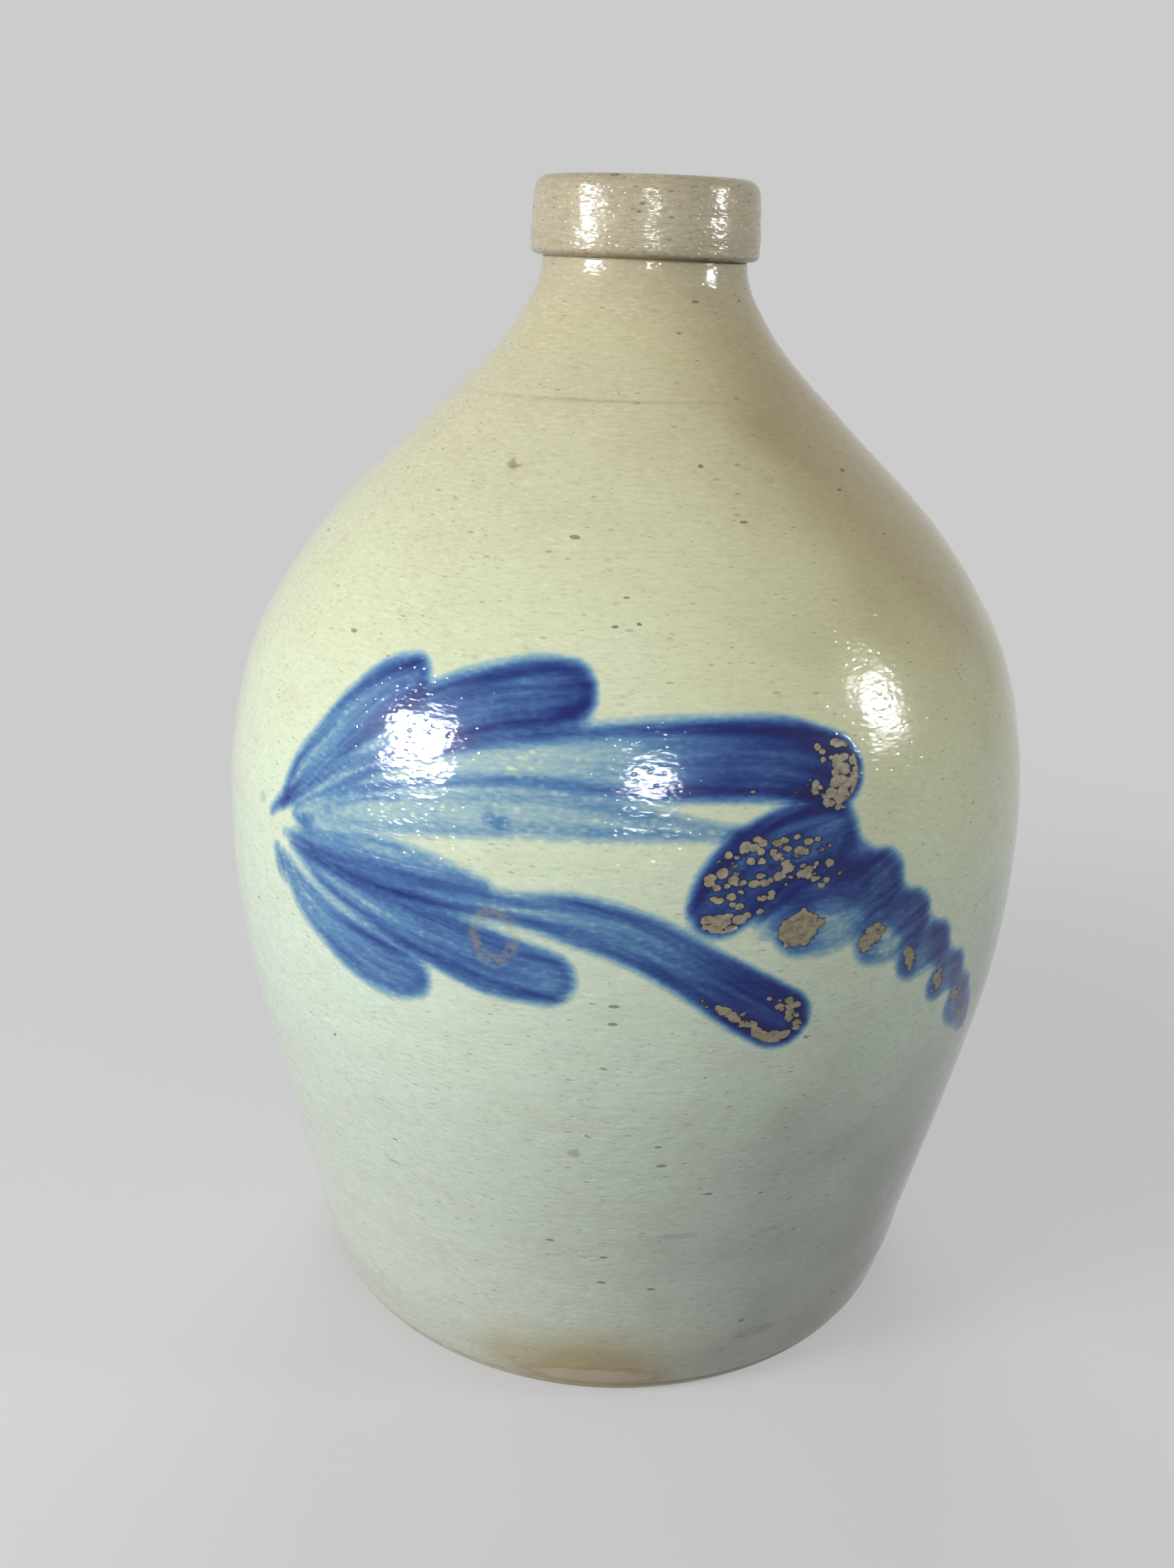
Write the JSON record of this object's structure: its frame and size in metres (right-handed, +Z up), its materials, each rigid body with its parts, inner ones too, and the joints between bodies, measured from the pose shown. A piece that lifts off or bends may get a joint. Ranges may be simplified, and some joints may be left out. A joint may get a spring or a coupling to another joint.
{
  "type": "stoneware jug",
  "caption": "Ovoid salt-glazed stoneware jug with a heavy collar round its mouth, a strap handle at the back, a brown slip lining and a tapered cork that draws out.",
  "frame": {"origin": "centre of the flat foot, on the surface that the jug stands on", "axes": "+Z up the jug's axis to the mouth, +Y towards the strap handle, -Y the side with the brushed blue spray, +X to the right seen from that side"},
  "size_m": [0.19, 0.19, 0.264],
  "materials": {
    "salt_glaze": "satin",
    "brown_slip": "gloss",
    "cork": "matte"
  },
  "bodies": {
    "jug": {"jug_body": "salt_glaze", "slip_lining": "brown_slip", "mouth_collar": "salt_glaze", "strap_handle": "salt_glaze", "upper_wad": "salt_glaze", "lower_wad": "salt_glaze"},
    "cork": {"cork_stopper": "cork"}
  },
  "joints": [
    {"name": "cork_draw", "type": "slide", "parent": "jug", "child": "cork", "axis": [0, 0, 1], "range_m": [0, 0.045]}
  ]
}
